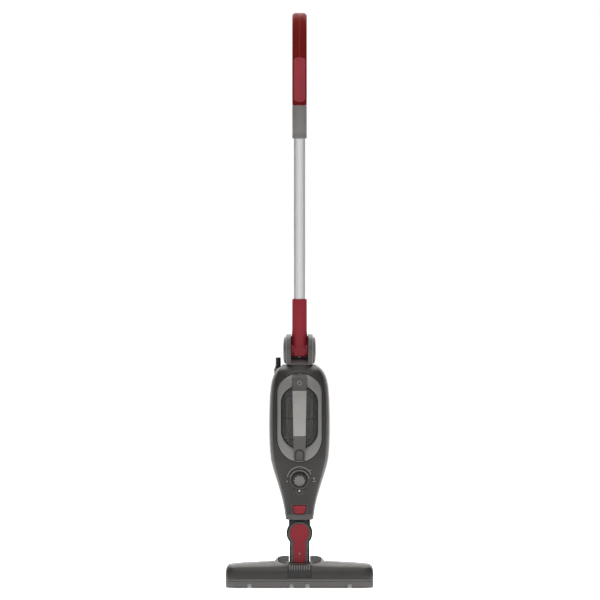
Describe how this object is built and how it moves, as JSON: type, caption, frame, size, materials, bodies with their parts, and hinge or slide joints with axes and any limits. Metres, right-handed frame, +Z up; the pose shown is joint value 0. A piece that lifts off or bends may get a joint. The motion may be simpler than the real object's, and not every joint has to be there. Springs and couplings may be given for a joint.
{
  "type": "upright wet and dry floor cleaner",
  "caption": "Corded upright floor cleaner: wide floor head with mop pad, two-axis neck, body with clear container and dial, folding tube handle with loop grip.",
  "frame": {"origin": "on the floor, at the middle of the mop pad's flat underside straight below the head's pivot", "axes": "+Z up along the upright handle, -Y towards the front with the dial and container, +X to the right as seen from the front"},
  "size_m": [0.3058, 0.1554, 1.1888],
  "materials": {
    "head_grey": "fine satin texture",
    "body_grey": "satin",
    "black_plastic": "satin",
    "red_plastic": "semi gloss",
    "ring_grey": "fine texture",
    "collar_grey": "satin",
    "strap_grey": "satin",
    "knob_grey": "satin",
    "clear_plastic": "clear smoked",
    "lamp": "clear lens",
    "rubber": "matt",
    "pale_rubber": "matt",
    "bristle": "bristle",
    "hook_tape": "hook tape",
    "pad_fabric": "looped microfibre",
    "filter_paper": "pleated",
    "tube_aluminium": "brushed",
    "steel": "satin",
    "motor_steel": "satin",
    "board": "circuit board"
  },
  "bodies": {
    "head": {"head_cover": "head_grey", "head_skirt": "head_grey", "head_base": "black_plastic", "suction_duct": "black_plastic", "drum_cradle": "black_plastic", "bearing_cap_left": "black_plastic", "bearing_cap_right": "black_plastic", "bristle_strip": "bristle", "rubber_blade": "pale_rubber", "mop_pad": "pad_fabric", "hook_strip_front": "hook_tape", "hook_strip_rear": "hook_tape", "tread_insert": "rubber"},
    "neck": {"neck_frame": "black_plastic", "neck_faceplate": "body_grey", "neck_cover": "red_plastic", "neck_cover_screw": "steel", "roll_pin": "steel"},
    "body": {"spigot": "black_plastic", "front_shell": "body_grey", "rear_shell": "body_grey", "container_bay": "black_plastic", "case_screw_1": "steel", "case_screw_2": "steel", "case_screw_3": "steel", "case_screw_4": "steel", "inlet_duct": "black_plastic", "dial_base": "body_grey", "dial_potentiometer": "steel", "lamp_lens": "lamp", "motor": "motor_steel", "fan_housing": "black_plastic", "exhaust_grille": "black_plastic", "exhaust_filter": "filter_paper", "control_board": "board", "fold_yoke": "body_grey", "pivot_cap_left": "body_grey", "pivot_cap_right": "body_grey", "fold_pin": "steel", "cord_outlet_boot": "rubber"},
    "fan": {"fan_rotor": "black_plastic"},
    "dial": {"dial_knob": "knob_grey"},
    "nozzle_button": {"nozzle_release_button": "red_plastic"},
    "fold_lock": {"fold_lock_button": "red_plastic"},
    "container": {"container_tub": "clear_plastic", "window_bezel": "ring_grey", "container_lid": "black_plastic", "lid_gasket": "rubber", "filter_frame": "ring_grey", "filter_element": "filter_paper", "strap_handle": "strap_grey"},
    "container_key": {"container_release_button": "strap_grey"},
    "handle": {"tube_socket": "red_plastic", "handle_tube": "tube_aluminium", "grip_collar": "collar_grey", "collar_screw": "steel", "grip_left": "red_plastic", "grip_right": "red_plastic", "grip_inlay": "red_plastic"},
    "snap_button": {"tube_snap_button": "steel"}
  },
  "joints": [
    {"name": "head_pitch", "type": "hinge", "parent": "head", "child": "neck", "pos_m": [0, 0, 0.034], "axis": [-1, 0, 0], "range_deg": [0, 75]},
    {"name": "neck_roll", "type": "hinge", "parent": "neck", "child": "body", "pos_m": [0, 0, 0.1125], "axis": [0, 1, 0], "range_deg": [-45, 45]},
    {"name": "handle_fold", "type": "hinge", "parent": "body", "child": "handle", "pos_m": [0, 0, 0.491], "axis": [1, 0, 0], "range_deg": [0, 95]},
    {"name": "dial_turn", "type": "hinge", "parent": "body", "child": "dial", "pos_m": [0, -0.0417, 0.224], "axis": [0, 0.9787, 0.2055], "range_deg": [0, 190]},
    {"name": "fan_spin", "type": "hinge", "parent": "body", "child": "fan", "pos_m": [0, -0.002, 0.245], "axis": [0, 0, 1], "continuous": true},
    {"name": "container_slide", "type": "slide", "parent": "body", "child": "container", "axis": [0, -1, 0], "range_m": [0, 0.12]},
    {"name": "container_key_press", "type": "slide", "parent": "container", "child": "container_key", "axis": [0, 1, 0], "range_m": [0, 0.003], "stiffness_N_per_m": 600},
    {"name": "nozzle_release_press", "type": "slide", "parent": "body", "child": "nozzle_button", "axis": [0, 1, 0], "range_m": [0, 0.003], "stiffness_N_per_m": 600},
    {"name": "fold_lock_press", "type": "slide", "parent": "body", "child": "fold_lock", "axis": [0, -1, 0], "range_m": [0, 0.002], "stiffness_N_per_m": 600},
    {"name": "tube_snap_press", "type": "slide", "parent": "handle", "child": "snap_button", "axis": [0, -1, 0], "range_m": [0, 0.0025], "stiffness_N_per_m": 600}
  ]
}
